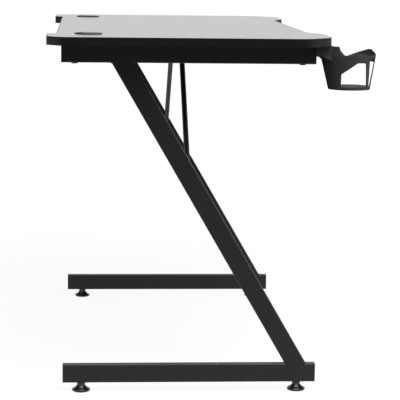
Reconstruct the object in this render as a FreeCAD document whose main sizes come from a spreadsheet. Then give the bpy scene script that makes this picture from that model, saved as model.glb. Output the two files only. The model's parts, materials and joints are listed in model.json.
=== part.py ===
import FreeCAD, Part
import Sketcher
import math
import os
import re

# Driving sizes of the desk, in millimetres
SIZES = {
    # desktop
    "desk_length": 1200,
    "desk_depth": 600,
    "desk_height": 770,
    "board_thickness": 18,
    "band_thickness": 2,
    "front_corner_run": 60,
    "front_corner_drop": 58,
    "front_corner_radius": 70,
    "front_ear": 225,
    "front_slope_run": 55,
    "front_recess": 28,
    "front_slope_radius": 110,
    "rear_corner_run": 34,
    "rear_corner_drop": 32,
    "rear_corner_radius": 30,
    "rear_ear": 143,
    "rear_slope_run": 17,
    "rear_recess": 19,
    "rear_slope_radius": 6,
    # tubes of the two side frames
    "end_overhang": 92,
    "tube_height": 40,
    "tube_width": 20,
    "tube_wall": 1.5,
    "tube_radius": 2.5,
    "rail_inset": 30,
    "foot_rear_inset": 33,
    "foot_front_inset": 18,
    "leg_top_inset": 129,
    "leg_foot_inset": 43,
    "plug_cap": 2.5,
    "plug_depth": 14,
    "plug_gap": 0.2,
    # centre rail and braces
    "plate_thickness": 3,
    "plate_width": 72,
    "plate_bolt_offset": 24,
    "centre_screw_offset": 350,
    "brace_top": 205,
    "brace_radius": 6,
    "tab_thickness": 3,
    "tab_width": 18,
    "tab_rise": 24,
    # fasteners
    "bolt_radius": 3,
    "bolt_head_radius": 6,
    "bolt_head_height": 3.2,
    "bolt_tail": 2,
    "hole_gap": 0.3,
    "nut_across": 10,
    "nut_height": 5,
    "thread_gap": 0.05,
    "screw_head_radius": 7,
    "screw_head_height": 3,
    "screw_grip": 12,
    "screw_inset": 28,
    # levelling feet
    "foot_height": 20,
    "foot_inset": 40,
    "pad_sole_radius": 17,
    "pad_low_radius": 19.2,
    "pad_low_height": 1.2,
    "pad_bulge_radius": 19.8,
    "pad_bulge_height": 3.2,
    "pad_high_radius": 19.5,
    "pad_high_height": 4.8,
    "pad_shoulder_radius": 18,
    "pad_shoulder_height": 6.2,
    "pad_flare_radius": 12.8,
    "pad_flare_height": 9.2,
    "pad_throat_radius": 10.4,
    "pad_throat_height": 11.6,
    "pad_neck_radius": 8.8,
    "pad_neck_height": 14,
    "pad_collar_radius": 9,
    "pad_collar_height": 17,
    "stud_radius": 4,
    "stud_seat": 6,
    "stud_length": 42,
    "foot_nut_across": 13,
    "foot_nut_height": 6.5,
    # cable grommets
    "grommet_end": 144,
    "grommet_rear": 87,
    "grommet_radius": 30,
    "grommet_rim": 2,
    "grommet_edge": 0.8,
    "sleeve_radius": 27.5,
    "sleeve_wall": 1.7,
    "sleeve_tail": 2,
    "ledge_radius": 24,
    "ledge_depth": 1,
    "ledge_thickness": 1.5,
    "cap_gap": 0.3,
    "cap_crown": 0.4,
    "skirt_wall": 1.6,
    "skirt_depth": 6,
    "slot_width": 24,
    "slot_start": 12,
    # cup holder
    "cup_tuck": 14,
    "cup_rim_radius": 56,
    "cup_base_radius": 44.5,
    "cup_flare_height": 72.5,
    "cup_collar_height": 20,
    "cup_wall": 2,
    "cup_floor": 6.5,
    "cup_plate": 5,
    "cup_plate_width": 70,
    "cup_plate_gap": 2,
    "cup_lip": 2,
    "cup_rib": 5,
    "cup_rib_reach": 6,
    "cup_rib_depth": 21,
    "cup_rib_run": 8,
    "cup_rib_sag": 1.5,
    "cup_rib_foot": 30,
    "gusset_depth": 24,
    "gusset_run": 5.6,
    "gusset_sag": 1.4,
    "gusset_bend": 10,
    "gusset_bend_drop": 30,
    # rim of the cup holder, at the end of the desk and towards the knees:
    # distances from its axis, and drops below the desktop
    "outer_cheek": 30,
    "outer_cheek_drop": 9,
    "outer_dip_rear": 22.5,
    "outer_dip": 6,
    "outer_dip_drop": 18.7,
    "outer_ear": 12,
    "outer_ear_drop": 14,
    "outer_brow": 36,
    "outer_brow_drop": 20.2,
    "outer_front_drop": 17.5,
    "inner_cheek": 33,
    "inner_cheek_front": 13.5,
    "inner_cheek_drop": 6.4,
    "inner_fall": 11.5,
    "inner_fall_drop": 13.8,
    "inner_dip_rear": 1.5,
    "inner_dip": 4,
    "inner_dip_drop": 24.8,
    "inner_peak": 45.5,
    "inner_shoulder": 50.5,
    "inner_peak_drop": 8.6,
    "inner_front_drop": 25,
    # windows of the cup holder: distances from its axis and heights above its underside
    "window_rear": 23.2,
    "window_peak": 10,
    "window_front": 32,
    "window_front_high": 28,
    "window_low": 34.5,
    "window_high": 58,
    "window_radius": 5,
    "front_window_rear": 37.5,
    "front_window_top": 67,
    "front_window_radius": 2,
    "cup_screw_offset": 22,
    "cup_screw_inset": 9,
    "cup_screw_radius": 2,
    "cup_screw_head_radius": 4,
    "cup_screw_head_height": 2.4,
    "cup_screw_grip": 13,
    # overrun of every cutting solid past the faces that it cuts
    "cut_overrun": 5,
}

# Places that several pieces share, written in the sizes
CUP_OUT = "(cup_rim_radius - cup_tuck)"
SHIFT = "(%s + cup_rim_radius)/2" % CUP_OUT
UNDERSIDE = "(desk_height - board_thickness)"
RAIL_END = "(desk_depth/2 - rail_inset)"
FOOT_REAR = "(desk_depth/2 - foot_rear_inset)"
FOOT_FRONT = "(desk_depth/2 - foot_front_inset)"
LEG_TOP = "(%s - leg_top_inset)" % RAIL_END
LEG_FOOT = "(%s - leg_foot_inset)" % FOOT_FRONT
LEG_LEAN = "(%s + %s)" % (LEG_TOP, LEG_FOOT)
RAIL_BOTTOM = "(desk_height - board_thickness - tube_height)"
FOOT_TOP = "(foot_height + tube_height)"
FRAME_X = "(desk_length/2 - end_overhang - tube_width/2)"
INNER_FACE = "(desk_length/2 - end_overhang - tube_width)"
LEG_RISE = "(%s - %s)" % (RAIL_BOTTOM, FOOT_TOP)
LEG_STRETCH = "sqrt(1 + (%s/%s)^2)" % (LEG_LEAN, LEG_RISE)
BRACE_FOOT = "(%s - %s*%s/%s)" % (RAIL_BOTTOM, LEG_TOP, LEG_RISE, LEG_LEAN)
BRACE_RUN = "(%s - brace_top - tab_rise/2)" % INNER_FACE
BRACE_LIFT = "(%s - %s - tab_rise/2)" % (RAIL_BOTTOM, BRACE_FOOT)
BRACE_LENGTH = "sqrt(%s^2 + %s^2)" % (BRACE_RUN, BRACE_LIFT)
RAIL_MIDDLE = "(%s + tube_height/2)" % RAIL_BOTTOM
RAIL_SCREW_Y = "(%s - screw_inset)" % RAIL_END
GROMMET_X = "(desk_length/2 - grommet_end)"
GROMMET_Y = "(desk_depth/2 - grommet_rear)"
CUP_Y = "(-desk_depth/2 - %s)" % CUP_OUT
CUP_HEIGHT = "(cup_flare_height + cup_collar_height)"
CUP_BASE = "(%s - %s)" % (UNDERSIDE, CUP_HEIGHT)
PLATE_REAR = "(-%s - cup_plate_gap)" % RAIL_END
PLATE_FRONT = "(-desk_depth/2 - cup_lip)"

# Directions about the cup holder's axis in degrees, from straight forward towards the end of the desk
STRUT_TURNS = (5.5, 12.5)
HALF_TURN = 180

# Rings of a levelling foot above its sole, each with a radius and a height
PAD_RINGS = ("pad_low", "pad_bulge", "pad_high", "pad_shoulder", "pad_flare", "pad_throat", "pad_neck",
             "pad_collar")

SIDES = {"left": -1, "right": 1}
ENDS = {"front": -1, "rear": 1}
UP = FreeCAD.Vector(0, 0, 1)
TOLERANCE_SHARE = 1e-6
STEEP_SHARE = 0.5
FIRST_ANGLE = 45
HEAD_CROWN_SHARE = 0.65
HEAD_EDGE_SHARE = 0.4

doc = FreeCAD.newDocument("gaming_desk")
sheet = doc.addObject("Spreadsheet::Sheet", "sizes")
for row, size_name in enumerate(SIZES, start=1):
    sheet.set("A%d" % row, size_name)
    sheet.set("B%d" % row, str(SIZES[size_name]))
    sheet.setAlias("B%d" % row, size_name)
doc.recompute()

subparts = []


def bound(text):
    """Expression in which each size name points at its cell of the sheet."""
    def cell(word):
        return "sizes." + word.group() if word.group() in SIZES else word.group()
    return re.sub(r"[a-z_]+", cell, text)


def signed(sign, text):
    """The same size on the positive or the negative side."""
    return "(%s)" % text if sign > 0 else "-(%s)" % text


def place(item, x, y, z):
    """Put an object at a place given in sizes, measured from the middle of the desktop's plan."""
    for axis, text in zip("xyz", (x, "%s + %s" % (y, SHIFT), z)):
        item.setExpression("Placement.Base." + axis, bound(text))


def point_at(item, direction):
    """Turn an object so that its own upward axis points along a direction."""
    item.Placement.Rotation = FreeCAD.Rotation(UP, FreeCAD.Vector(direction))


def keep(item, label):
    """Name a finished sub-part."""
    item.Label = label
    subparts.append(item)
    return item


def outline(body, name, plane, points):
    """Closed outline on an origin plane of a body, with both places of each corner bound to sizes."""
    sketch = body.newObject("Sketcher::SketchObject", name)
    support = [feature for feature in body.Origin.OriginFeatures if feature.Role == plane]
    sketch.AttachmentSupport = (support[0], [""])
    sketch.MapMode = "FlatFace"
    count = len(points)
    turns = [2*math.pi*number/count for number in range(count)]
    start = [FreeCAD.Vector(math.cos(turn), math.sin(turn), 0) for turn in turns]
    for number in range(count):
        sketch.addGeometry(Part.LineSegment(start[number], start[(number + 1) % count]))
    for number in range(count):
        sketch.addConstraint(Sketcher.Constraint("Coincident", number, 2, (number + 1) % count, 1))
    for number, corner in enumerate(points):
        for kind, first, text in zip(("DistanceX", "DistanceY"), start[number], corner):
            constraint = sketch.addConstraint(Sketcher.Constraint(kind, number, 1, first))
            label = "corner_%d_%s" % (number, kind)
            sketch.renameConstraint(constraint, label)
            sketch.setExpression("Constraints." + label, bound(text))
    return sketch


def round_edges(body, feature, radius, test):
    """Round the edges of a feature that pass a test."""
    doc.recompute()
    edges = feature.Shape.Edges
    names = ["Edge%d" % number for number, edge in enumerate(edges, start=1) if test(edge)]
    rounding = body.newObject("PartDesign::Fillet", body.Name + "_rounding")
    rounding.Base = (feature, names)
    rounding.setExpression("Radius", bound(radius))
    return rounding


def direction_of(edge):
    """Unit direction of an edge at its start."""
    return edge.tangentAt(edge.FirstParameter)


def prism(name, plane, points, length, radius=None):
    """Straight solid of one outline, centred on its plane, with its long edges rounded if asked."""
    body = doc.addObject("PartDesign::Body", name)
    pad = body.newObject("PartDesign::Pad", name + "_pad")
    pad.Profile = outline(body, name + "_outline", plane, points)
    pad.SideType = "Symmetric"
    pad.setExpression("Length", bound(length))
    if radius:
        normal = {"XY_Plane": 2, "XZ_Plane": 1, "YZ_Plane": 0}[plane]
        round_edges(body, pad, radius, lambda edge: abs(direction_of(edge)[normal]) > STEEP_SHARE)
    return body


def turned(name, points):
    """Solid of revolution about its own upright axis, from corners given as radius and height."""
    body = doc.addObject("PartDesign::Body", name)
    profile = outline(body, name + "_profile", "XZ_Plane", points)
    turn = body.newObject("PartDesign::Revolution", name + "_turn")
    turn.Profile = profile
    turn.ReferenceAxis = (profile, ["V_Axis"])
    return body


def bar(name, radius, length):
    """Round bar along its own upright axis."""
    item = doc.addObject("Part::Cylinder", name)
    item.setExpression("Radius", bound(radius))
    item.setExpression("Height", bound(length))
    return item


def cone(name, low_radius, high_radius, length):
    """Upright cone frustum."""
    item = doc.addObject("Part::Cone", name)
    item.setExpression("Radius1", bound(low_radius))
    item.setExpression("Radius2", bound(high_radius))
    item.setExpression("Height", bound(length))
    return item


def block(name, low, high):
    """Box between two corners given in sizes."""
    item = doc.addObject("Part::Box", name)
    for side, first, last in zip(("Length", "Width", "Height"), low, high):
        item.setExpression(side, bound("(%s) - (%s)" % (last, first)))
    place(item, *low)
    return item


def join(name, items):
    """One solid from several that meet or overlap."""
    whole = doc.addObject("Part::MultiFuse", name)
    whole.Shapes = items
    return whole


def cut(name, base, tools):
    """A solid less its cutting tools."""
    item = doc.addObject("Part::Cut", name)
    item.Base = base
    item.Tool = tools[0] if len(tools) == 1 else join(name + "_tools", tools)
    return item


def group(label, items):
    """Identical loose pieces kept together as one sub-part."""
    whole = doc.addObject("Part::Compound", label)
    whole.Links = items
    return keep(whole, label)


def hole(name, radius, length, x, y, z, direction=UP):
    """Cutting bar that starts at a place and runs along a direction."""
    tool = bar(name, radius, length)
    point_at(tool, direction)
    place(tool, x, y, z)
    return tool


def rectangle(width, height):
    """Corners of a rectangle about the origin."""
    signs = ((-1, -1), (1, -1), (1, 1), (-1, 1))
    return [(signed(a, "(%s)/2" % width), signed(b, "(%s)/2" % height)) for a, b in signs]


def fastener(name, head_radius, head_height, shank, length):
    """Pan-head screw or bolt that points upwards, with the underside of its head at the origin."""
    crown = "%s*%r" % (head_radius, HEAD_CROWN_SHARE)
    edge = "-%s*%r" % (head_height, HEAD_EDGE_SHARE)
    return turned(name, [("0", "-" + head_height), (crown, "-" + head_height), (head_radius, edge),
                         (head_radius, "0"), (shank, "0"), (shank, length), ("0", length)])


def tube(label, plane, length, x, y, z, tools=()):
    """Rectangular steel tube with rounded corners, less its holes."""
    outer = prism(label + "_outside", plane, rectangle("tube_width", "tube_height"), length, "tube_radius")
    bore = rectangle("tube_width - 2*tube_wall", "tube_height - 2*tube_wall")
    inner = prism(label + "_inside", plane, bore, "%s + 2*cut_overrun" % length)
    place(outer, x, y, z)
    place(inner, x, y, z)
    return keep(cut(label + "_tube", outer, [inner] + list(tools)), label)


def desktop_outline():
    """Plan of the desktop: eased corners, a scooped front and a stepped rear."""
    right = [
        ("desk_length/2 - front_ear - front_slope_run", "front_recess - desk_depth/2"),
        ("desk_length/2 - front_ear", "-desk_depth/2"),
        ("desk_length/2 - front_corner_run", "-desk_depth/2"),
        ("desk_length/2", "front_corner_drop - desk_depth/2"),
        ("desk_length/2", "desk_depth/2 - rear_corner_drop"),
        ("desk_length/2 - rear_corner_run", "desk_depth/2"),
        ("desk_length/2 - rear_ear", "desk_depth/2"),
        ("desk_length/2 - rear_ear - rear_slope_run", "desk_depth/2 - rear_recess"),
    ]
    left = [("-(%s)" % x, y) for x, y in reversed(right)]
    body = doc.addObject("PartDesign::Body", "desktop_plan")
    sketch = outline(body, "desktop_plan_outline", "XY_Plane", right + left)
    feature = body.newObject("PartDesign::Pad", "desktop_plan_pad")
    feature.Profile = sketch
    feature.setExpression("Length", bound("board_thickness"))
    doc.recompute()
    corners = [line.StartPoint for line in sketch.Geometry]
    radii = ("front_slope_radius", "front_corner_radius", "rear_corner_radius", "rear_slope_radius")
    near = SIZES["desk_length"]*TOLERANCE_SHARE
    for number, radius in enumerate(radii):
        first = 2*number
        mine = corners[first:first + 2] + corners[len(corners) - first - 2:len(corners) - first]

        def at_corner(edge):
            upright = abs(direction_of(edge).z) > STEEP_SHARE
            foot = edge.Vertexes[0].Point
            return upright and any(math.hypot(foot.x - c.x, foot.y - c.y) < near for c in mine)
        feature = round_edges(body, feature, radius, at_corner)
    place(body, "0", "0", UNDERSIDE)
    return body


def desktop():
    """Chipboard core with its holes, and the band glued round its edge."""
    plan = desktop_outline()
    doc.recompute()
    faces = plan.Shape.Faces
    flat = ["Face%d" % number for number, face in enumerate(faces, start=1)
            if abs(face.normalAt(0, 0).z) > STEEP_SHARE]
    band = doc.addObject("Part::Thickness", "band_ring")
    band.Faces = (plan, flat)
    band.Join = "Intersection"
    band.setExpression("Value", bound("-band_thickness"))
    keep(band, "edge_band")
    tools = []
    for side, sign in SIDES.items():
        x = signed(sign, GROMMET_X)
        z = "%s - cut_overrun" % UNDERSIDE
        depth = "board_thickness + 2*cut_overrun"
        tools.append(hole(side + "_grommet_hole", "sleeve_radius + cap_gap", depth, x, GROMMET_Y, z))
    for number, (x, y) in enumerate(screw_places()):
        name = "screw_pilot_%d" % number
        tools.append(hole(name, "bolt_radius + thread_gap", "screw_grip", x, y, UNDERSIDE))
    for number, (x, y) in enumerate(cup_screw_places()):
        name = "cup_screw_pilot_%d" % number
        tools.append(hole(name, "cup_screw_radius + thread_gap", "cup_screw_grip", x, y, UNDERSIDE))
    core = cut("desktop_core", plan, [band])
    keep(cut("desktop_drilled", core, tools), "desktop_board")


def screw_places():
    """Plan places of the screws that hold the desktop to the frame."""
    places = [(signed(a, FRAME_X), signed(b, RAIL_SCREW_Y)) for a in SIDES.values() for b in ENDS.values()]
    return places + [(signed(a, "centre_screw_offset"), "0") for a in SIDES.values()]


def cup_screw_places():
    """Plan places of the two screws of the cup holder."""
    y = "%s - cup_screw_inset" % PLATE_REAR
    return [("-%s + %s" % (FRAME_X, signed(a, "cup_screw_offset")), y) for a in SIDES.values()]


def plugs(label, x, z, rear, front):
    """Plastic plugs in the two ends of a level tube, each a cap with a block that fills the bore."""
    bore = rectangle("tube_width - 2*tube_wall - 2*plug_gap", "tube_height - 2*tube_wall - 2*plug_gap")
    for end, y in (("rear", rear), ("front", front)):
        sign = ENDS[end]
        name = "%s_%s_plug" % (label, end)
        face = rectangle("tube_width", "tube_height")
        cap = prism(name + "_cap", "XZ_Plane", face, "plug_cap", "tube_radius")
        place(cap, x, "%s - %s" % (y, signed(sign, "plug_cap/2")), z)
        stem = prism(name + "_stem", "XZ_Plane", bore, "plug_depth")
        place(stem, x, "%s - %s" % (y, signed(sign, "plug_cap + plug_depth/2")), z)
        keep(join(name + "_whole", [cap, stem]), name)


def top_rail(side, sign):
    """Level tube under the desktop at one end of the desk."""
    x = signed(sign, FRAME_X)
    tools = []
    for end, away in ENDS.items():
        y = signed(away, RAIL_SCREW_Y)
        z = "%s - cut_overrun" % RAIL_BOTTOM
        depth = "tube_height + 2*cut_overrun"
        tools.append(hole("%s_rail_%s_hole" % (side, end), "bolt_radius + hole_gap", depth, x, y, z))
        y = signed(away, "plate_bolt_offset")
        face = signed(sign, "%s - cut_overrun" % INNER_FACE)
        name = "%s_rail_%s_bolt_hole" % (side, end)
        depth = "tube_width/2 + cut_overrun"
        tools.append(hole(name, "bolt_radius + hole_gap", depth, face, y, RAIL_MIDDLE, (sign, 0, 0)))
    tube(side + "_top_rail", "XZ_Plane", "(2*%s - 2*plug_cap)" % RAIL_END, x, "0", RAIL_MIDDLE, tools)
    plugs(side + "_rail", x, RAIL_MIDDLE, RAIL_END, "-" + RAIL_END)


def foot_places():
    """Ends of the foot bar with the depth place of the levelling foot at each."""
    return {"rear": "(%s - foot_inset)" % FOOT_REAR, "front": "(foot_inset - %s)" % FOOT_FRONT}


def foot_bar(side, sign):
    """Level tube on the floor side of one side frame."""
    x = signed(sign, FRAME_X)
    z = "(foot_height + tube_height/2)"
    tools = []
    for end, y in foot_places().items():
        low = "foot_height - cut_overrun"
        depth = "tube_height/2 + cut_overrun"
        tools.append(hole("%s_foot_%s_hole" % (side, end), "stud_radius + hole_gap", depth, x, y, low))
    length = "(%s + %s - 2*plug_cap)" % (FOOT_REAR, FOOT_FRONT)
    tube(side + "_foot_bar", "XZ_Plane", length, x, "(%s - %s)/2" % (FOOT_REAR, FOOT_FRONT), z, tools)
    plugs(side + "_foot", x, z, FOOT_REAR, "-" + FOOT_FRONT)


def leg_corners(half):
    """Slanted side view of a leg of a given half height across the tube."""
    across = "%s*%s" % (half, LEG_STRETCH)
    low = [("-%s - %s" % (LEG_FOOT, across), FOOT_TOP), ("-%s + %s" % (LEG_FOOT, across), FOOT_TOP)]
    return low + [("%s + %s" % (LEG_TOP, across), RAIL_BOTTOM), ("%s - %s" % (LEG_TOP, across), RAIL_BOTTOM)]


def leg(side, sign):
    """Slanted tube from the front of the foot bar to the rear of the top rail."""
    x = signed(sign, FRAME_X)
    label = side + "_leg"
    outer = doc.addObject("PartDesign::Body", label + "_outside")
    pad = outer.newObject("PartDesign::Pad", label + "_pad")
    pad.Profile = outline(outer, label + "_outline", "YZ_Plane", leg_corners("tube_height/2"))
    pad.SideType = "Symmetric"
    pad.setExpression("Length", bound("tube_width"))
    round_edges(outer, pad, "tube_radius", lambda edge: abs(direction_of(edge).z) > STEEP_SHARE)
    inner = prism(label + "_inside", "YZ_Plane", leg_corners("(tube_height/2 - tube_wall)"),
                  "tube_width - 2*tube_wall")
    place(outer, x, "0", "0")
    place(inner, x, "0", "0")
    face = signed(sign, "%s - cut_overrun" % INNER_FACE)
    depth = "tube_width/2 + cut_overrun"
    radius = "bolt_radius + hole_gap"
    bolt_hole = hole(label + "_bolt_hole", radius, depth, face, "0", BRACE_FOOT, (sign, 0, 0))
    keep(cut(label + "_tube", outer, [inner, bolt_hole]), label)


def centre_rail():
    """Tube that ties the two side frames together under the middle of the desktop."""
    tools = []
    for side, sign in SIDES.items():
        low = "%s - cut_overrun" % RAIL_BOTTOM
        x = signed(sign, "centre_screw_offset")
        depth = "tube_height + 2*cut_overrun"
        tools.append(hole(side + "_centre_screw_hole", "bolt_radius + hole_gap", depth, x, "0", low))
        x = signed(sign, "brace_top")
        depth = "tube_height/2 + cut_overrun"
        tools.append(hole(side + "_centre_bolt_hole", "bolt_radius + hole_gap", depth, x, "0", low))
    tube("centre_rail", "YZ_Plane", "(2*(%s - plate_thickness))" % INNER_FACE, "0", "0", RAIL_MIDDLE, tools)


def slab(name, sign, thickness, low, high):
    """Plate that lies on the inner face of a side frame, between two corners in depth and height."""
    inner = "%s - %s" % (INNER_FACE, thickness)
    spans = {-1: ("-" + INNER_FACE, signed(-1, inner)), 1: (inner, INNER_FACE)}
    return block(name, (spans[sign][0],) + low, (spans[sign][1],) + high)


def rail_plate(side, sign):
    """Plate welded to an end of the centre rail and bolted to the top rail."""
    plate = slab(side + "_plate_blank", sign, "plate_thickness",
                 ("-plate_width/2", RAIL_BOTTOM), ("plate_width/2", UNDERSIDE))
    face = signed(sign, "%s - plate_thickness - cut_overrun" % INNER_FACE)
    depth = "plate_thickness + 2*cut_overrun"
    tools = []
    for end, away in ENDS.items():
        y = signed(away, "plate_bolt_offset")
        name = "%s_plate_%s_hole" % (side, end)
        tools.append(hole(name, "bolt_radius + hole_gap", depth, face, y, RAIL_MIDDLE, (sign, 0, 0)))
    keep(cut(side + "_plate_drilled", plate, tools), side + "_rail_plate")


def brace_rod(label, sign):
    """Slanted round bar, cut off flush with the leg and with the underside of the centre rail."""
    rod = bar(label + "_rod", "brace_radius", "%s + 4*brace_radius" % BRACE_LENGTH)
    rod.Placement.Rotation = FreeCAD.Rotation(FreeCAD.Vector(0, -sign, 0), FIRST_ANGLE)
    rod.setExpression("Placement.Rotation.Angle", bound("atan2(%s; %s)" % (BRACE_RUN, BRACE_LIFT)))
    place(rod, signed(sign, "%s + 2*brace_radius*%s/%s" % (INNER_FACE, BRACE_RUN, BRACE_LENGTH)), "0",
          "%s + tab_rise/2 - 2*brace_radius*%s/%s" % (BRACE_FOOT, BRACE_LIFT, BRACE_LENGTH))
    between = block(label + "_between", ("-" + INNER_FACE, "-tab_width", FOOT_TOP),
                    (INNER_FACE, "tab_width", RAIL_BOTTOM))
    trimmed = doc.addObject("Part::Common", label + "_trimmed")
    trimmed.Base = rod
    trimmed.Tool = between
    return trimmed


def brace(side, sign):
    """Round bar with a flat tab at each end, from the middle of a leg up to the centre rail."""
    label = side + "_brace"
    low_corner = ("-tab_width/2", "%s - tab_width/2" % BRACE_FOOT)
    high_corner = ("tab_width/2", "%s + tab_rise" % BRACE_FOOT)
    low_tab = slab(label + "_low_tab", sign, "tab_thickness", low_corner, high_corner)
    spans = {-1: ("-brace_top - tab_rise", "tab_width/2 - brace_top"),
             1: ("brace_top - tab_width/2", "brace_top + tab_rise")}
    under = "%s - tab_thickness" % RAIL_BOTTOM
    high_tab = block(label + "_high_tab", (spans[sign][0], "-tab_width/2", under),
                     (spans[sign][1], "tab_width/2", RAIL_BOTTOM))
    whole = join(label + "_blank", [brace_rod(label, sign), low_tab, high_tab])
    radius = "bolt_radius + hole_gap"
    depth = "tab_thickness + 2*cut_overrun"
    face = signed(sign, "%s - tab_thickness - cut_overrun" % INNER_FACE)
    low_hole = hole(label + "_low_hole", radius, depth, face, "0", BRACE_FOOT, (sign, 0, 0))
    top_x = signed(sign, "brace_top")
    high_hole = hole(label + "_high_hole", radius, depth, top_x, "0", under + " - cut_overrun")
    keep(cut(label + "_drilled", whole, [low_hole, high_hole]), label)


def bolt_seats():
    """Seat under the head and direction of each frame bolt, with the thickness that it clamps."""
    seats = []
    for sign in SIDES.values():
        inward = signed(sign, "%s - plate_thickness" % INNER_FACE)
        for away in ENDS.values():
            y = signed(away, "plate_bolt_offset")
            seats.append((inward, y, RAIL_MIDDLE, (sign, 0, 0), "plate_thickness"))
        inward = signed(sign, "%s - tab_thickness" % INNER_FACE)
        seats.append((inward, "0", BRACE_FOOT, (sign, 0, 0), "tab_thickness"))
        low = "%s - tab_thickness" % RAIL_BOTTOM
        seats.append((signed(sign, "brace_top"), "0", low, (0, 0, 1), "tab_thickness"))
    return seats


def frame_fasteners():
    """Button-head bolts of the centre rail and the braces, and the weld nuts inside the tubes."""
    bolts = []
    nuts = []
    for number, (x, y, z, direction, grip) in enumerate(bolt_seats()):
        length = "%s + tube_wall + nut_height + bolt_tail" % grip
        name = "frame_bolt_%d" % number
        bolt = fastener(name, "bolt_head_radius", "bolt_head_height", "bolt_radius", length)
        point_at(bolt, direction)
        place(bolt, x, y, z)
        bolts.append(bolt)
        step = "(%s + tube_wall)" % grip
        seat = [text if not way else "%s + %s" % (text, signed(way, step))
                for text, way in zip((x, y, z), direction)]
        nuts.append(nut("frame_nut_%d" % number, "nut_across", "nut_height", "bolt_radius", seat, direction))
    group("frame_bolts", bolts)
    group("frame_nuts", nuts)


def nut(name, across, height, thread, seat, direction):
    """Hexagon nut on a seat, with its thread along a direction."""
    blank = doc.addObject("Part::Prism", name + "_blank")
    blank.Polygon = 6
    blank.setExpression("Circumradius", bound("%s/sqrt(3)" % across))
    blank.setExpression("Height", bound(height))
    point_at(blank, direction)
    place(blank, *seat)
    thread_hole = hole(name + "_thread", "%s + thread_gap" % thread, height, *seat, direction)
    return cut(name, blank, [thread_hole])


def desktop_screws():
    """Pan-head screws through the tubes into the desktop, with their heads under the rails."""
    screws = []
    for number, (x, y) in enumerate(screw_places()):
        screw = fastener("desktop_screw_%d" % number, "screw_head_radius", "screw_head_height", "bolt_radius",
                         "tube_height + screw_grip")
        place(screw, x, y, RAIL_BOTTOM)
        screws.append(screw)
    group("desktop_screws", screws)


def levelling_feet():
    """Four plastic feet on threaded studs, each in a weld nut inside its foot bar."""
    nuts = []
    for side, sign in SIDES.items():
        x = signed(sign, FRAME_X)
        for end, y in foot_places().items():
            name = "%s_%s" % (side, end)
            outside = [("%s_radius" % ring, "%s_height" % ring) for ring in PAD_RINGS]
            inside = [("pad_collar_radius", "foot_height"), ("stud_radius + thread_gap", "foot_height"),
                      ("stud_radius + thread_gap", "stud_seat"), ("0", "stud_seat")]
            pad = turned(name + "_pad_turned", [("0", "0"), ("pad_sole_radius", "0")] + outside + inside)
            place(pad, x, y, "0")
            keep(pad, name + "_foot_pad")
            stud = bar(name + "_stud_bar", "stud_radius", "stud_length")
            place(stud, x, y, "stud_seat")
            keep(stud, name + "_foot_stud")
            seat = (x, y, "foot_height + tube_wall")
            name += "_foot_nut"
            nuts.append(nut(name, "foot_nut_across", "foot_nut_height", "stud_radius", seat, UP))
    group("foot_nuts", nuts)


def grommet(side, sign):
    """Cable outlet: a flanged sleeve in the desktop and a cap with a cable slot that turns in it."""
    x = signed(sign, GROMMET_X)
    bore = "sleeve_radius - sleeve_wall"
    tail = "-board_thickness - sleeve_tail"
    under = "-ledge_depth - ledge_thickness"
    shape = [(bore, tail), ("sleeve_radius", tail), ("sleeve_radius", "0"), ("grommet_radius", "0"),
             ("grommet_radius", "grommet_rim - grommet_edge"),
             ("grommet_radius - grommet_edge", "grommet_rim"), (bore, "grommet_rim"), (bore, "-ledge_depth"),
             ("ledge_radius", "-ledge_depth"), ("ledge_radius", under), (bore, under)]
    sleeve = turned(side + "_sleeve_turned", shape)
    place(sleeve, x, GROMMET_Y, "desk_height")
    keep(sleeve, side + "_grommet_sleeve")
    rim = "%s - cap_gap" % bore
    skirt = "ledge_radius - cap_gap"
    inside = "%s - skirt_wall" % skirt
    low = "-ledge_depth - skirt_depth"
    shape = [("0", "-ledge_depth"), (inside, "-ledge_depth"), (inside, low), (skirt, low),
             (skirt, "-ledge_depth"), (rim, "-ledge_depth"), (rim, "grommet_rim"),
             ("%s - grommet_edge" % rim, "grommet_rim + cap_crown"), ("0", "grommet_rim + cap_crown")]
    cap = turned(side + "_cap_turned", shape)
    place(cap, x, GROMMET_Y, "desk_height")
    slot = block(side + "_cap_slot", ("%s - slot_width/2" % x, "%s + slot_start" % GROMMET_Y, UNDERSIDE),
                 ("%s + slot_width/2" % x, "%s + grommet_radius" % GROMMET_Y, "desk_height + cut_overrun"))
    keep(cut(side + "_cap_slotted", cap, [slot]), side + "_grommet_cap")


def cup_place(item, height):
    """Put an object on the cup holder's axis at a height."""
    place(item, "-" + FRAME_X, CUP_Y, height)
    return item


def cup_cone(name, inset, low):
    """Flared outside or inside of the cup, from a height above its underside up to its collar."""
    length = "cup_flare_height - %s" % low
    flare = cone(name + "_flare", "cup_base_radius - %s" % inset, "cup_rim_radius - %s" % inset, length)
    return cup_place(flare, "%s + %s" % (CUP_BASE, low))


def cup_half(name, sign, points):
    """Cutting solid drawn across the cup in side view, for the half of the cup on one side of its axis."""
    reach = "(cup_rim_radius + cut_overrun)"
    half = prism(name, "YZ_Plane", points, reach)
    place(half, "-%s + %s" % (FRAME_X, signed(sign, reach + "/2")), CUP_Y, UNDERSIDE)
    return half


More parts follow.
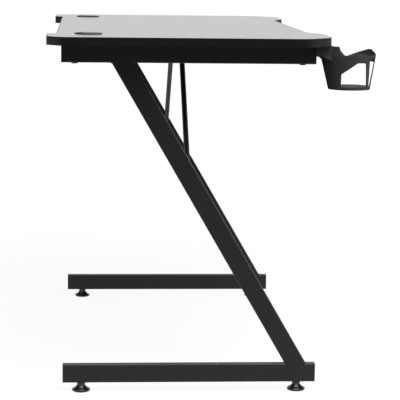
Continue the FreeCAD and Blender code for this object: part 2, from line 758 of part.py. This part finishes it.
def cup_rim():
    """Cutting solids above the rim, which has a cheek at the rear and an ear at the front."""
    front = "-cup_rim_radius - cut_overrun"
    outer = [("outer_cheek", "cut_overrun"), ("outer_cheek", "-outer_cheek_drop"),
             ("outer_dip_rear", "-outer_dip_drop"), ("outer_dip", "-outer_dip_drop"),
             ("-outer_ear", "-outer_ear_drop"), ("-outer_brow", "-outer_brow_drop"),
             (front, "-outer_front_drop"), (front, "cut_overrun")]
    inner = [("inner_cheek", "cut_overrun"), ("inner_cheek", "-inner_cheek_drop"),
             ("inner_cheek_front", "-inner_cheek_drop"), ("inner_fall", "-inner_fall_drop"),
             ("inner_dip_rear", "-inner_dip_drop"), ("-inner_dip", "-inner_dip_drop"),
             ("-inner_peak", "-inner_peak_drop"), ("-inner_shoulder", "-inner_peak_drop"),
             (front, "-inner_front_drop"), (front, "cut_overrun")]
    return [cup_half("cup_outer_rim", -1, outer), cup_half("cup_inner_rim", 1, inner)]


def cup_sector(name, turns):
    """Upright wedge about the cup holder's axis between two directions, above its floor."""
    reach = "2*(cup_rim_radius + cut_overrun)"
    middle = sum(turns)/len(turns)
    points = [("0", "0")]
    for turn in (turns[0], middle, turns[1]):
        angle = math.radians(turn)
        points.append(("%s*(%.6f)" % (reach, -math.sin(angle)), "%s*(%.6f)" % (reach, -math.cos(angle))))
    wedge = prism(name, "XY_Plane", points, "2*" + CUP_HEIGHT)
    return cup_place(wedge, "%s + cup_floor + %s" % (CUP_BASE, CUP_HEIGHT))


def cup_window(name, turns, points, radius):
    """Cutting solid for a window: a side view drawn across the cup, kept between two directions."""
    view = prism(name + "_view", "YZ_Plane", points, "2*(cup_rim_radius + cut_overrun)", radius)
    window = doc.addObject("Part::Common", name)
    window.Base = cup_place(view, CUP_BASE)
    window.Tool = cup_sector(name + "_sector", turns)
    return window


def cup_windows():
    """Windows at the end of the desk, at the front and towards the knees, with two struts between them."""
    front = "-cup_rim_radius - cut_overrun"
    low = "cup_floor - cut_overrun"
    slope = [("window_rear", low), ("window_rear", "window_low"), ("-window_peak", "window_high")]
    outer = slope + [("-window_front_high", "window_high"), ("-window_front", low)]
    inner = slope + [(front, "window_high"), (front, low)]
    middle = [("-front_window_rear", low), ("-front_window_rear", "front_window_top"),
              (front, "front_window_top"), (front, low)]
    return [cup_window("cup_outer_window", (0, HALF_TURN), outer, "window_radius"),
            cup_window("cup_front_window", (STRUT_TURNS[1], HALF_TURN), middle, "front_window_radius"),
            cup_window("cup_inner_window", (-HALF_TURN, STRUT_TURNS[0]), inner, "window_radius")]


def cup_shell(well):
    """Flared cup with its collar, hollowed and cut to its rim line and windows."""
    collar = bar("cup_collar", "cup_rim_radius", "cup_collar_height")
    cup_place(collar, "%s + cup_flare_height" % CUP_BASE)
    blank = join("cup_blank", [cup_cone("cup_outer", "0", "0"), collar])
    return cut("cup_shell", blank, cup_rim() + well + cup_windows())


def cup_gusset(inside):
    """Upright web from the plate down the middle of the cup's rear wall."""
    line = [(PLATE_REAR, UNDERSIDE), (PLATE_REAR, "%s - gusset_depth" % UNDERSIDE),
            ("%s - gusset_run" % PLATE_REAR, "%s - gusset_depth - gusset_sag" % UNDERSIDE),
            ("%s - gusset_bend" % PLATE_REAR, "%s - gusset_bend_drop" % UNDERSIDE),
            ("%s + cup_base_radius" % CUP_Y, CUP_BASE), (inside, CUP_BASE), (inside, UNDERSIDE)]
    web = prism("cup_gusset", "YZ_Plane", line, "cup_rib")
    place(web, "-" + FRAME_X, "0", "0")
    return web


def cup_carrier(well):
    """Plate under the desktop, with the gusset and the two ribs below it on the rear wall of the cup."""
    axis = "-" + FRAME_X
    low = ("%s - cup_plate_width/2" % axis, PLATE_FRONT, "%s - cup_plate" % UNDERSIDE)
    high = ("%s + cup_plate_width/2" % axis, PLATE_REAR, UNDERSIDE)
    plate = block("cup_plate_blank", low, high)
    inside = "%s + cup_base_radius/2" % CUP_Y
    rear = "%s + cup_rib_reach" % PLATE_REAR
    line = [(rear, UNDERSIDE), (rear, "%s - cup_rib_depth" % UNDERSIDE),
            ("%s - cup_rib_run" % PLATE_REAR, "%s - cup_rib_depth - cup_rib_sag" % UNDERSIDE),
            ("%s + cup_base_radius" % CUP_Y, "%s - cup_rib_foot" % UNDERSIDE),
            (inside, "%s - cup_rib_foot" % UNDERSIDE), (inside, UNDERSIDE)]
    ribs = [cup_gusset(inside)]
    for side, sign in SIDES.items():
        rib = prism(side + "_cup_rib", "YZ_Plane", line, "cup_rib")
        place(rib, "%s + %s" % (axis, signed(sign, "(cup_plate_width - cup_rib)/2")), "0", "0")
        ribs.append(rib)
    return [plate, cut("cup_ribs", join("cup_rib_blanks", ribs), well)]


def cup_holder():
    """Moulded cup holder under the front edge, open at its sides and front."""
    neck = bar("cup_neck", "cup_rim_radius - cup_wall", "cup_collar_height + cut_overrun")
    cup_place(neck, "%s + cup_flare_height" % CUP_BASE)
    well = [cup_cone("cup_well", "cup_wall", "cup_floor"), neck]
    whole = join("cup_whole", [cup_shell(well)] + cup_carrier(well))
    tools = []
    for number, (x, y) in enumerate(cup_screw_places()):
        low = "%s - cup_plate - cut_overrun" % UNDERSIDE
        depth = "cup_plate + 2*cut_overrun"
        tools.append(hole("cup_hole_%d" % number, "cup_screw_radius + hole_gap", depth, x, y, low))
    keep(cut("cup_drilled", whole, tools), "cup_holder")


def cup_screws():
    """Two pan-head screws up through the cup holder's plate into the desktop."""
    screws = []
    for number, (x, y) in enumerate(cup_screw_places()):
        screw = fastener("cup_screw_%d" % number, "cup_screw_head_radius", "cup_screw_head_height",
                         "cup_screw_radius", "cup_plate + cup_screw_grip")
        place(screw, x, y, "%s - cup_plate" % UNDERSIDE)
        screws.append(screw)
    group("cup_holder_screws", screws)


desktop()
for frame_side, frame_sign in SIDES.items():
    top_rail(frame_side, frame_sign)
    leg(frame_side, frame_sign)
    foot_bar(frame_side, frame_sign)
    rail_plate(frame_side, frame_sign)
    brace(frame_side, frame_sign)
    grommet(frame_side, frame_sign)
centre_rail()
frame_fasteners()
desktop_screws()
levelling_feet()
cup_holder()
cup_screws()
doc.recompute()

for item in doc.Objects:
    if "Invalid" in item.State or "Error" in item.State:
        raise RuntimeError("failed object: " + item.Label)
for item in subparts:
    if item.Shape.isNull() or not item.Shape.isValid():
        raise RuntimeError("bad shape: " + item.Label)

os.makedirs("parts", exist_ok=True)
for item in subparts:
    item.Shape.exportStep("parts/%s.step" % item.Label)
    box = item.Shape.BoundBox
    print(item.Label, len(item.Shape.Solids), round(item.Shape.Volume), box)
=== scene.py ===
import bmesh
import bpy
import json
import math
from mathutils import Matrix, Vector


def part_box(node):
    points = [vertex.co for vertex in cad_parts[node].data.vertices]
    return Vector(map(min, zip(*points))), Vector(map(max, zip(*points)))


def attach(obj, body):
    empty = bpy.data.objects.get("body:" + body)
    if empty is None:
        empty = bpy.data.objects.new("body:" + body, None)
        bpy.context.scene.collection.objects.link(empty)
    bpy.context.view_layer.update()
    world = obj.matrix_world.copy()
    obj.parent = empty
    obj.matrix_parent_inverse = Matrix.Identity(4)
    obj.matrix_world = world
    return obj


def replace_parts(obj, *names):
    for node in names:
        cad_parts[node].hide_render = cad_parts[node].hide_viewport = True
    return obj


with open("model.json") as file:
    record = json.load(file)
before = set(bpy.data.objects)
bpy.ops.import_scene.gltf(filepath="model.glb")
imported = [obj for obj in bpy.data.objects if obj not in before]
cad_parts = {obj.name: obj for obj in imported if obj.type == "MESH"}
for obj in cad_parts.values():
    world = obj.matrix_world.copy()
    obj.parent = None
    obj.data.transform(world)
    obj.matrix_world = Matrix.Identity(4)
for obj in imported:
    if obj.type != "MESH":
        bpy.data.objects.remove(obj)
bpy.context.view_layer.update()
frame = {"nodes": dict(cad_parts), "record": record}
nodes = frame["nodes"]

SIDES = ("left", "right")
ENDS = ("front", "rear")
ROUND_BARS = tuple(side + "_brace" for side in SIDES)

# Camera, fitted to the straight edges of the side frames and the desktop: place in metres, turns in radians,
# focal length in pixels of the image, sensor in millimetres
IMAGE_SIDE = 400
FOCAL_PIXELS = 1652.2
SENSOR_WIDTH = 36
CAMERA_PLACE = Vector((-3.9918, 0.2648, 0.9473))
CAMERA_YAW = 0.06929
CAMERA_PITCH = 0.1497
CAMERA_ROLL = -0.01255

# Light: levels are strengths, where 1 is white; distances in metres, lamps in watts.
# A lamp that isn't mirrored doesn't show in reflections.
STUDIO_LEVEL = 0.18
REFLECTED_DARK = 0.12
REFLECTED_TURN = (-0.9, 0.1)
FLOOR_SIDE = 90
FLOOR_GLOW = 0.92
FLOOR_SHADE = 0.12
FLOOR_BOUNCE = 0.2
FLOOR_NEAR = 1.2
FLOOR_FAR = 3.5
LAMPS = {"overhead": {"place": (-1.6, -0.5, 3.2), "aim": (-0.4, 0, 0.5), "sides": (2.4, 2.4), "power": 95,
                      "mirrored": True},
         "front": {"place": (-0.9, -3.4, 2.1), "aim": (-0.5, 0, 0.4), "sides": (3.6, 1), "power": 66,
                   "mirrored": False}}

# Finish of each material slot: tones and roughness between which it drifts, and in metres
# the size of the patches of tone and of gloss, the size of the grain and its height
FINISHES = {
    "laminate": {"tones": (0.017, 0.024), "roughness": (0.165, 0.175), "specular": 0.45, "metallic": 0,
                 "tone_patch": 0.15, "gloss_patch": 0.06, "grain": 0.0012, "relief": 0.000002},
    "edge_plastic": {"tones": (0.003, 0.006), "roughness": (0.34, 0.42), "specular": 0.4, "metallic": 0,
                     "tone_patch": 0.02, "gloss_patch": 0.004, "grain": 0.0008, "relief": 0.00002},
    "frame_paint": {"tones": (0.012, 0.016), "roughness": (0.45, 0.52), "specular": 0.39, "metallic": 0,
                    "tone_patch": 0.08, "gloss_patch": 0.012, "grain": 0.0016, "relief": 0.00006},
    "plug_plastic": {"tones": (0.010, 0.013), "roughness": (0.4, 0.5), "specular": 0.45, "metallic": 0,
                     "tone_patch": 0.03, "gloss_patch": 0.01, "grain": 0.0009, "relief": 0.00003},
    "black_screw": {"tones": (0.025, 0.03), "roughness": (0.35, 0.45), "specular": 0.5, "metallic": 0.6,
                    "tone_patch": 0.004, "gloss_patch": 0.002, "grain": 0.0006, "relief": 0.00002},
    "zinc_steel": {"tones": (0.5, 0.6), "roughness": (0.25, 0.4), "specular": 0.5, "metallic": 1,
                   "tone_patch": 0.004, "gloss_patch": 0.002, "grain": 0.0006, "relief": 0.00002},
    "foot_plastic": {"tones": (0.008, 0.011), "roughness": (0.18, 0.26), "specular": 0.5, "metallic": 0,
                     "tone_patch": 0.03, "gloss_patch": 0.01, "grain": 0.0006, "relief": 0.00001},
    "grommet_plastic": {"tones": (0.012, 0.016), "roughness": (0.4, 0.5), "specular": 0.45, "metallic": 0,
                        "tone_patch": 0.03, "gloss_patch": 0.01, "grain": 0.0008, "relief": 0.00003},
    "cup_plastic": {"tones": (0.072, 0.082), "roughness": (0.7, 0.8), "specular": 0.03, "metallic": 0,
                    "tone_patch": 0.03, "gloss_patch": 0.01, "grain": 0.001, "relief": 0.00003},
}
NOISE_SPREAD = (0.3, 0.7)
WHITE = (1, 1, 1, 1)
PEEL_SHARE = 0.3

# Painted highlight on the rounded corners of tubes: its tone, and the parts of the normal along X between
# which it comes and goes
CORNER_HIGHLIGHT_TONE = 0.075
CORNER_HIGHLIGHT_RISE = (0.1, 0.35)
CORNER_HIGHLIGHT_FALL = (0.8, 0.97)

# Stretch of the turning marks along a screw
TURNING_STRETCH = (1, 1, 6)

# Rounding in metres of the edges that the solids leave sharp
EDGE_ROUNDING = {"laminate": 0.0003, "edge_plastic": 0.0006, "plug_plastic": 0.0008, "foot_plastic": 0.0005,
                 "grommet_plastic": 0.0003, "cup_plastic": 0.0008}
EDGE_ANGLE = math.radians(35)
EDGE_STEPS = 2

# Welds, in metres
TUBE_RADIUS = 0.0025
BEAD_RADIUS = 0.0018
BEAD_STEP = 0.0004
RIPPLE = 0.0022
RIPPLE_SHARE = 0.12
BEAD_SIDES = 12
BEAD_TIP_POWER = 8
FILL_STEPS = 6

# Threads and screw heads, in metres
THREAD_PITCH = 0.00125
THREAD_DEPTH = 0.0007
THREAD_STEPS = 6
ROUND_SIDES = 48
DOME_STEPS = 5
SAME_PLACE = 0.00001
HEADS = {"frame_bolts": {"height": 0.0032, "shank": 0.003, "recess": "hexagon"},
         "desktop_screws": {"height": 0.003, "shank": 0.003, "recess": "cross"},
         "cup_holder_screws": {"height": 0.0024, "shank": 0.002, "recess": "cross"}}
RECESS_SHARE = 0.55
DOME_SHARE = 0.5
HEX_SIDES = 6
CROSS_ARMS = 4
CROSS_ARM_TURN = math.radians(17)
CROSS_ROOT_SHARE = 0.36


def set_camera():
    """Camera at the photograph's viewing angle."""
    forward = Vector((math.cos(CAMERA_YAW)*math.cos(CAMERA_PITCH),
                      -math.sin(CAMERA_YAW)*math.cos(CAMERA_PITCH), -math.sin(CAMERA_PITCH)))
    level = Vector((-math.sin(CAMERA_YAW), -math.cos(CAMERA_YAW), 0))
    upright = level.cross(forward)
    right = math.cos(CAMERA_ROLL)*level - math.sin(CAMERA_ROLL)*upright
    up = math.sin(CAMERA_ROLL)*level + math.cos(CAMERA_ROLL)*upright
    data = bpy.data.cameras.new("camera")
    data.sensor_width = SENSOR_WIDTH
    data.lens = FOCAL_PIXELS*SENSOR_WIDTH/IMAGE_SIDE
    camera = bpy.data.objects.new("camera", data)
    bpy.context.scene.collection.objects.link(camera)
    turn = Matrix((right, up, -forward)).transposed()
    camera.matrix_world = Matrix.Translation(CAMERA_PLACE) @ turn.to_4x4()
    bpy.context.scene.camera = camera


def grey(tone):
    """Opaque grey of a tone."""
    return (tone, tone, tone, 1)


class Paint:
    """A slot's material and its main shader, with the node set-ups that the finishes share."""

    def __init__(self, slot):
        self.finish = FINISHES[slot]
        self.material = bpy.data.materials.new(slot)
        self.material.use_nodes = True
        self.tree = self.material.node_tree
        self.shader = self.tree.nodes["Principled BSDF"]
        self.shader.inputs["Specular IOR Level"].default_value = self.finish["specular"]
        self.shader.inputs["Metallic"].default_value = self.finish["metallic"]
        coordinates = self.tree.nodes.new("ShaderNodeTexCoord")
        self.place = coordinates.outputs["Object"]
        self.facing = coordinates.outputs["Normal"]
        self.normal = None
        self.vary_tone()
        self.vary_gloss()

    def node(self, kind, **inputs):
        """New node with some of its inputs set or linked."""
        item = self.tree.nodes.new(kind)
        for name, value in inputs.items():
            socket = item.inputs[name.replace("_", " ")]
            if isinstance(value, bpy.types.NodeSocket):
                self.tree.links.new(value, socket)
            else:
                socket.default_value = value
        return item

    def noise(self, size, stretch=None):
        """Noise with features of about a size, drawn out along the axes if asked."""
        place = self.place
        if stretch:
            place = self.node("ShaderNodeMapping", Vector=place, Scale=stretch).outputs["Vector"]
        return self.node("ShaderNodeTexNoise", Vector=place, Scale=1/size).outputs["Fac"]

    def vary_tone(self):
        """Base colour that drifts between the two tones."""
        ramp = self.node("ShaderNodeValToRGB", Fac=self.noise(self.finish["tone_patch"]))
        for end, place, tone in zip(ramp.color_ramp.elements, NOISE_SPREAD, self.finish["tones"]):
            end.position = place
            end.color = grey(tone)
        self.tree.links.new(ramp.outputs["Color"], self.shader.inputs["Base Color"])

    def vary_gloss(self):
        """Roughness that drifts between its two values."""
        low, high = self.finish["roughness"]
        limits = {"From_Min": NOISE_SPREAD[0], "From_Max": NOISE_SPREAD[1], "To_Min": low, "To_Max": high}
        drift = self.node("ShaderNodeMapRange", Value=self.noise(self.finish["gloss_patch"]), **limits)
        self.tree.links.new(drift.outputs["Result"], self.shader.inputs["Roughness"])

    def paint_corner_highlight(self):
        """Painted highlight: lighter tone on corners between faces along X and faces across it."""
        across = self.node("ShaderNodeSeparateXYZ", Vector=self.facing).outputs["X"]
        reach = self.combine("ABSOLUTE", across)
        rise = self.fade(reach, CORNER_HIGHLIGHT_RISE, (0, 1))
        fall = self.fade(reach, CORNER_HIGHLIGHT_FALL, (1, 0))
        highlight_mask = self.combine("MULTIPLY", rise, fall)
        mix = self.tree.nodes.new("ShaderNodeMix")
        mix.data_type = "RGBA"
        colours = [socket for socket in mix.inputs if socket.type == "RGBA"]
        self.tree.links.new(highlight_mask, mix.inputs["Factor"])
        self.tree.links.new(self.shader.inputs["Base Color"].links[0].from_socket, colours[0])
        # Colour of the painted highlight on the corners
        colours[1].default_value = grey(CORNER_HIGHLIGHT_TONE)
        result = next(socket for socket in mix.outputs if socket.type == "RGBA")
        self.tree.links.new(result, self.shader.inputs["Base Color"])

    def combine(self, operation, *values):
        """Result of an operation on one or more values."""
        item = self.tree.nodes.new("ShaderNodeMath")
        item.operation = operation
        for value, socket in zip(values, item.inputs):
            self.tree.links.new(value, socket)
        return item.outputs["Value"]

    def fade(self, value, limits, ends):
        """Smooth change of a value from one end to the other between two limits."""
        item = self.node("ShaderNodeMapRange", Value=value, From_Min=limits[0], From_Max=limits[1],
                         To_Min=ends[0], To_Max=ends[1])
        item.interpolation_type = "SMOOTHSTEP"
        return item.outputs["Result"]

    def bump(self, factor, height):
        """Relief of a height, on top of any relief before it."""
        item = self.node("ShaderNodeBump", Height=factor, Distance=height)
        if self.normal:
            self.tree.links.new(self.normal, item.inputs["Normal"])
        self.normal = item.outputs["Normal"]
        self.tree.links.new(self.normal, self.shader.inputs["Normal"])

    def grain(self, share=1, stretch=None):
        """The finish's own grain, or a share of it in size and height."""
        self.bump(self.noise(share*self.finish["grain"], stretch), share*self.finish["relief"])


def smooth_film(slot):
    """Laminate film or plastic with one fine grain."""
    paint = Paint(slot)
    paint.grain()
    return paint.material


def powder_coat(slot, corners=True):
    """Powder coat with its orange-peel skin and a finer grain on it, with a painted highlight on the corners
    of tubes.
    """
    paint = Paint(slot)
    # Painted highlight along the rounded corners of the tubes
    if corners:
        paint.paint_corner_highlight()
    paint.grain()
    paint.grain(PEEL_SHARE)
    return paint.material


def turned_metal(slot):
    """Plated or oxidised steel with faint turning marks."""
    paint = Paint(slot)
    paint.grain(stretch=TURNING_STRETCH)
    return paint.material


def make_materials():
    """The material of each slot, and the one of round bars, which have no corners."""
    kinds = {"frame_paint": powder_coat, "black_screw": turned_metal, "zinc_steel": turned_metal}
    made = {slot: kinds.get(slot, smooth_film)(slot) for slot in FINISHES}
    made["round_bar"] = powder_coat("frame_paint", corners=False)
    return made


def dress():
    """Each CAD node's material by its slot, and the rounding of its edges."""
    for entry in frame["record"]["subparts"]:
        item = nodes[entry["node"]]
        slot = entry["material_slot"]
        look = "round_bar" if entry["node"] in ROUND_BARS else slot
        item.data.materials.clear()
        item.data.materials.append(materials[look])
        if slot in EDGE_ROUNDING:
            bevel = item.modifiers.new("rounding", "BEVEL")
            bevel.width = EDGE_ROUNDING[slot]
            bevel.segments = EDGE_STEPS
            bevel.limit_method = "ANGLE"
            bevel.angle_limit = EDGE_ANGLE
            bevel.harden_normals = True


def add_piece(name, shape, slot, body):
    """New piece of the object from a bmesh, with its finish and the body that it rides on."""
    mesh = bpy.data.meshes.new(name)
    bmesh.ops.recalc_face_normals(shape, faces=shape.faces)
    shape.to_mesh(mesh)
    shape.free()
    piece = bpy.data.objects.new(name, mesh)
    bpy.context.scene.collection.objects.link(piece)
    mesh.materials.append(materials[slot])
    mesh.shade_smooth()
    mesh.set_sharp_from_angle(angle=EDGE_ANGLE)
    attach(piece, body)
    return piece


def skin(shape, rings):
    """Closed surface through rings of points, each ring with as many points as the next."""
    made = [[shape.verts.new(point) for point in ring] for ring in rings]
    count = len(rings[0])
    for low, high in zip(made, made[1:]):
        for number in range(count):
            after = (number + 1) % count
            shape.faces.new((low[number], low[after], high[after], high[number]))
    shape.faces.new(made[0])
    shape.faces.new(made[-1])


def bead(shape, start, end):
    """Ripple weld bead along a straight line."""
    run = end - start
    along = run.normalized()
    side = along.orthogonal().normalized()
    other = along.cross(side)
    steps = math.ceil(run.length/BEAD_STEP)
    rings = []
    for step in range(steps + 1):
        distance = run.length*step/steps
        ripple = abs(math.sin(math.pi*distance/RIPPLE))
        tip = math.sqrt(max(1 - (2*step/steps - 1)**BEAD_TIP_POWER, 0))
        radius = BEAD_RADIUS*(1 - RIPPLE_SHARE + RIPPLE_SHARE*ripple)*max(tip, RIPPLE_SHARE)
        turns = [2*math.pi*number/BEAD_SIDES for number in range(BEAD_SIDES)]
        rings.append([start + distance*along + radius*(math.cos(turn)*side + math.sin(turn)*other)
                      for turn in turns])
    skin(shape, rings)


def fill(shape, face_x, inward, level, down, y_range):
    """Flush weld that fills the rounded corner of a level tube below or above a leg."""
    arc = [math.pi/2*step/FILL_STEPS for step in range(FILL_STEPS + 1)]
    middle = Vector((face_x + inward*TUBE_RADIUS, 0, level + down*TUBE_RADIUS))
    hollow = [middle + TUBE_RADIUS*Vector((-inward*math.cos(turn), 0, -down*math.sin(turn))) for turn in arc]
    section = [Vector((face_x, 0, level))] + hollow
    skin(shape, [[Vector((point.x, y, point.z)) for point in section] for y in y_range])


def leg_end(side, level):
    """Range in depth of a leg at its lower or upper end."""
    vertices = nodes[side + "_leg"].data.vertices
    places = [vertex.co.y for vertex in vertices if abs(vertex.co.z - level) < TUBE_RADIUS]
    return min(places), max(places)


def leg_welds():
    """Welds of each leg to its foot bar and its top rail."""
    for side in SIDES:
        low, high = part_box(side + "_leg")
        for end, level, down in (("low", low.z, -1), ("high", high.z, 1)):
            y_range = leg_end(side, level)
            shape = bmesh.new()
            inner = (y_range[0] + TUBE_RADIUS, y_range[1] - TUBE_RADIUS)
            fill(shape, low.x, 1, level, down, inner)
            fill(shape, high.x, -1, level, down, inner)
            for y in y_range:
                start = Vector((low.x + TUBE_RADIUS, y, level))
                bead(shape, start, Vector((high.x - TUBE_RADIUS, y, level)))
            add_piece("%s_leg_%s_weld" % (side, end), shape, "frame_paint", "frame")


def plate_welds():
    """Welds of the centre rail to the plates at its ends, down both sides."""
    low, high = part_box("centre_rail")
    for side, x in zip(SIDES, (low.x, high.x)):
        shape = bmesh.new()
        for y in (low.y, high.y):
            bead(shape, Vector((x, y, low.z + TUBE_RADIUS)), Vector((x, y, high.z - TUBE_RADIUS)))
        add_piece(side + "_plate_weld", shape, "frame_paint", "frame")


def threaded_studs():
    """Threaded studs of the levelling feet."""
    for side in SIDES:
        for end in ENDS:
            name = "%s_%s_foot" % (side, end)
            low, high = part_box(name + "_stud")
            middle = (low + high)/2
            outer = (high.x - low.x)/2
            steps = math.ceil((high.z - low.z)/THREAD_PITCH*THREAD_STEPS)
            rings = []
            for step in range(steps + 1):
                share = step/steps
                z = low.z + share*(high.z - low.z)
                ring = []
                for number in range(ROUND_SIDES):
                    turn = number/ROUND_SIDES
                    phase = (step/THREAD_STEPS - turn) % 1
                    radius = outer - THREAD_DEPTH*abs(2*phase - 1)
                    angle = 2*math.pi*turn
                    ring.append((middle.x + radius*math.cos(angle), middle.y + radius*math.sin(angle), z))
                rings.append(ring)
            shape = bmesh.new()
            skin(shape, rings)
            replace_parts(add_piece(name + "_thread", shape, "zinc_steel", name), name + "_stud")


def solids(node):
    """Box of each loose solid of a node."""
    shape = bmesh.new()
    shape.from_mesh(nodes[node].data)
    bmesh.ops.remove_doubles(shape, verts=shape.verts, dist=SAME_PLACE)
    left = set(shape.verts)
    boxes = []
    while left:
        island = {left.pop()}
        edge = set(island)
        while edge:
            edge = {other.other_vert(vertex) for vertex in edge for other in vertex.link_edges} - island
            island |= edge
        left -= island
        corners = list(zip(*(vertex.co for vertex in island)))
        boxes.append((Vector(map(min, corners)), Vector(map(max, corners))))
    shape.free()
    return boxes


def recess_reach(kind, turn):
    """Reach of a driving recess in a direction, as a share of its widest reach."""
    if kind == "hexagon":
        sector = 2*math.pi/HEX_SIDES
        return math.cos(sector/2)/math.cos(turn % sector - sector/2)
    sector = 2*math.pi/CROSS_ARMS
    off = abs((turn + sector/2) % sector - sector/2)
    return 1 if off < CROSS_ARM_TURN else CROSS_ROOT_SHARE


def screw(shape, box, height, shank, recess):
    """Domed screw in the place of a plain one, with a driving recess in its head."""
    low, high = box
    size = high - low
    axis = max(range(len(size)), key=lambda number: size[number])
    way = Vector((0, 0, 0))
    way[axis] = -1 if size.x == size[axis] and high.x < 0 else 1
    side = way.orthogonal().normalized()
    other = way.cross(side)
    top = (low + high)/2 - way*size[axis]/2
    reach = min(size)/2
    turns = [2*math.pi*number/ROUND_SIDES for number in range(ROUND_SIDES)]

    def ring(depth, radii):
        return [top + depth*way + radius*(math.cos(turn)*side + math.sin(turn)*other)
                for turn, radius in zip(turns, radii)]
    hollow = [RECESS_SHARE*reach*recess_reach(recess, turn) for turn in turns]
    dome = DOME_SHARE*height
    rings = [ring(height, hollow), ring(dome*RECESS_SHARE**2, hollow)]
    for step in range(DOME_STEPS + 1):
        share = RECESS_SHARE + (1 - RECESS_SHARE)*(step + 1)/(DOME_STEPS + 1)
        rings.append(ring(dome*share**2, [reach*share for turn in turns]))
    length = size[axis]
    for depth, radius in ((height, reach), (height, shank), (length - shank, shank), (length, shank/2)):
        rings.append(ring(depth, [radius for turn in turns]))
    skin(shape, rings)


def screws():
    """Screws and bolts with domed heads and driving recesses."""
    for node, head in HEADS.items():
        shape = bmesh.new()
        for box in solids(node):
            screw(shape, box, **head)
        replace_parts(add_piece(node + "_set", shape, "black_screw", "frame"), node)


def set_inputs(node, values):
    """Set some inputs of a node by name."""
    for name, value in values.items():
        node.inputs[name].default_value = value


def set_world():
    """White to the camera; a dim even studio for the light; a darker camera side in reflections."""
    world = bpy.data.worlds.new("studio")
    world.use_nodes = True
    bpy.context.scene.world = world
    tree = world.node_tree
    link = tree.links.new
    make = tree.nodes.new
    path = make("ShaderNodeLightPath")
    lit = tree.nodes["Background"]
    lit.inputs["Strength"].default_value = STUDIO_LEVEL
    lit.inputs["Color"].default_value = WHITE
    seen = make("ShaderNodeBackground")
    seen.inputs["Color"].default_value = WHITE
    reflected = make("ShaderNodeBackground")
    reflected.inputs["Color"].default_value = WHITE
    way = make("ShaderNodeSeparateXYZ")
    link(make("ShaderNodeTexCoord").outputs["Generated"], way.inputs["Vector"])
    turn = make("ShaderNodeMapRange")
    turn.interpolation_type = "SMOOTHSTEP"
    link(way.outputs["X"], turn.inputs["Value"])
    set_inputs(turn, {"From Min": REFLECTED_TURN[0], "From Max": REFLECTED_TURN[1],
                      "To Min": REFLECTED_DARK, "To Max": 1})
    link(turn.outputs["Result"], reflected.inputs["Strength"])
    mirror = make("ShaderNodeMath")
    mirror.operation = "MAXIMUM"
    link(path.outputs["Is Glossy Ray"], mirror.inputs[0])
    link(path.outputs["Is Transmission Ray"], mirror.inputs[1])
    first = make("ShaderNodeMixShader")
    link(mirror.outputs["Value"], first.inputs["Fac"])
    link(lit.outputs["Background"], first.inputs[1])
    link(reflected.outputs["Background"], first.inputs[2])
    last = make("ShaderNodeMixShader")
    link(path.outputs["Is Camera Ray"], last.inputs["Fac"])
    link(first.outputs["Shader"], last.inputs[1])
    link(seen.outputs["Background"], last.inputs[2])
    link(last.outputs["Shader"], tree.nodes["World Output"].inputs["Surface"])


def floor_material():
    """White floor that keeps the object's soft shadow, darker far from the object in reflections."""
    material = bpy.data.materials.new("floor")
    material.use_nodes = True
    tree = material.node_tree
    link = tree.links.new
    make = tree.nodes.new
    tree.nodes.remove(tree.nodes["Principled BSDF"])
    path = make("ShaderNodeLightPath")
    shade = make("ShaderNodeBsdfDiffuse")
    shade.inputs["Color"].default_value = grey(FLOOR_SHADE)
    reach = make("ShaderNodeVectorMath")
    reach.operation = "LENGTH"
    link(make("ShaderNodeNewGeometry").outputs["Position"], reach.inputs[0])

    def emission(near, far):
        fade = make("ShaderNodeMapRange")
        link(reach.outputs["Value"], fade.inputs["Value"])
        set_inputs(fade, {"From Min": FLOOR_NEAR, "From Max": FLOOR_FAR, "To Min": near, "To Max": far})
        item = make("ShaderNodeEmission")
        link(fade.outputs["Result"], item.inputs["Strength"])
        return item.outputs["Emission"]
    seen = make("ShaderNodeAddShader")
    link(shade.outputs["BSDF"], seen.inputs[0])
    link(emission(FLOOR_GLOW, 1), seen.inputs[1])
    plain = make("ShaderNodeBsdfDiffuse")
    plain.inputs["Color"].default_value = grey(FLOOR_BOUNCE)
    first = make("ShaderNodeMixShader")
    link(path.outputs["Is Glossy Ray"], first.inputs["Fac"])
    link(plain.outputs["BSDF"], first.inputs[1])
    link(emission(1, REFLECTED_DARK), first.inputs[2])
    last = make("ShaderNodeMixShader")
    link(path.outputs["Is Camera Ray"], last.inputs["Fac"])
    link(first.outputs["Shader"], last.inputs[1])
    link(seen.outputs["Shader"], last.inputs[2])
    link(last.outputs["Shader"], tree.nodes["Material Output"].inputs["Surface"])
    return material


def set_floor():
    """Plain floor at the underside of the feet."""
    mesh = bpy.data.meshes.new("floor")
    half = FLOOR_SIDE/2
    corners = [(-half, -half, 0), (half, -half, 0), (half, half, 0), (-half, half, 0)]
    mesh.from_pydata(corners, [], [range(len(corners))])
    floor = bpy.data.objects.new("floor", mesh)
    bpy.context.scene.collection.objects.link(floor)
    floor.data.materials.append(floor_material())


def set_lamps():
    """Large soft lamps, each turned to what it lights."""
    for name, lamp in LAMPS.items():
        data = bpy.data.lights.new(name, "AREA")
        data.shape = "RECTANGLE"
        data.size, data.size_y = lamp["sides"]
        data.energy = lamp["power"]
        item = bpy.data.objects.new(name, data)
        item.location = lamp["place"]
        way = Vector(lamp["aim"]) - Vector(lamp["place"])
        item.rotation_mode = "QUATERNION"
        item.rotation_quaternion = way.to_track_quat("-Z", "Y")
        item.visible_glossy = lamp["mirrored"]
        bpy.context.scene.collection.objects.link(item)


set_camera()
set_world()
set_floor()
set_lamps()
materials = make_materials()
dress()
leg_welds()
plate_welds()
threaded_studs()
screws()
bpy.context.scene.view_settings.view_transform = "Standard"
